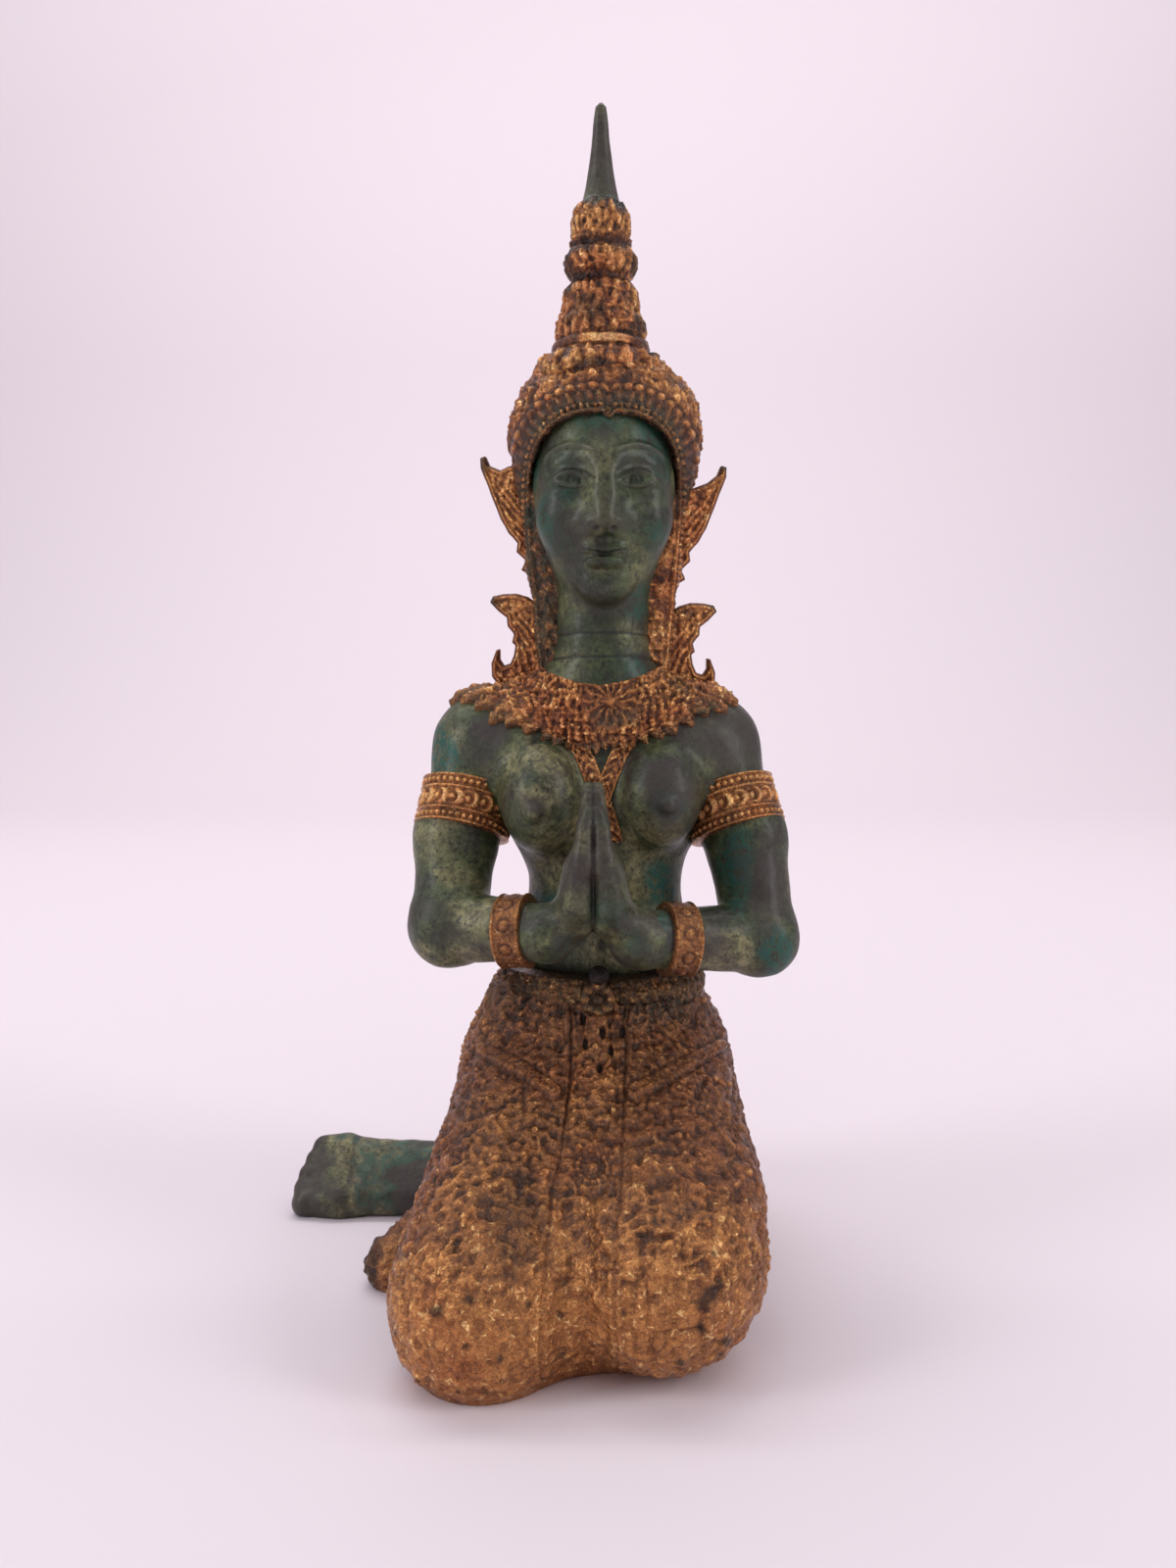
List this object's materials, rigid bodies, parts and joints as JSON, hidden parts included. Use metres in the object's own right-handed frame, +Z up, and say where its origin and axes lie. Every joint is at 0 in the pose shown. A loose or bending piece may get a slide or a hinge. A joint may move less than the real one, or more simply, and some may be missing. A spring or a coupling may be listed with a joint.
{
  "type": "thepphanom figure",
  "caption": "Kneeling praying celestial in a tall tiered crown, palms pressed together, feet swept to one side, cast in patinated bronze with worn gilding.",
  "frame": {"origin": "middle of the figure's bounding box, at the level of the underside it kneels on", "axes": "+Z up along the crown's spire; the figure faces -Y, and +X is its left-hand side"},
  "size_m": [0.1006, 0.0982, 0.2195],
  "materials": {
    "patinated_bronze": "cast bronze under an old dark green and grey patina with a soft sheen on the high places",
    "worn_gilding": "old gilding worn to a coppery brown over carved relief, bright on the high points and black in the recesses"
  },
  "bodies": {
    "root": {"thepphanom_figure": "patinated_bronze"}
  },
  "joints": []
}
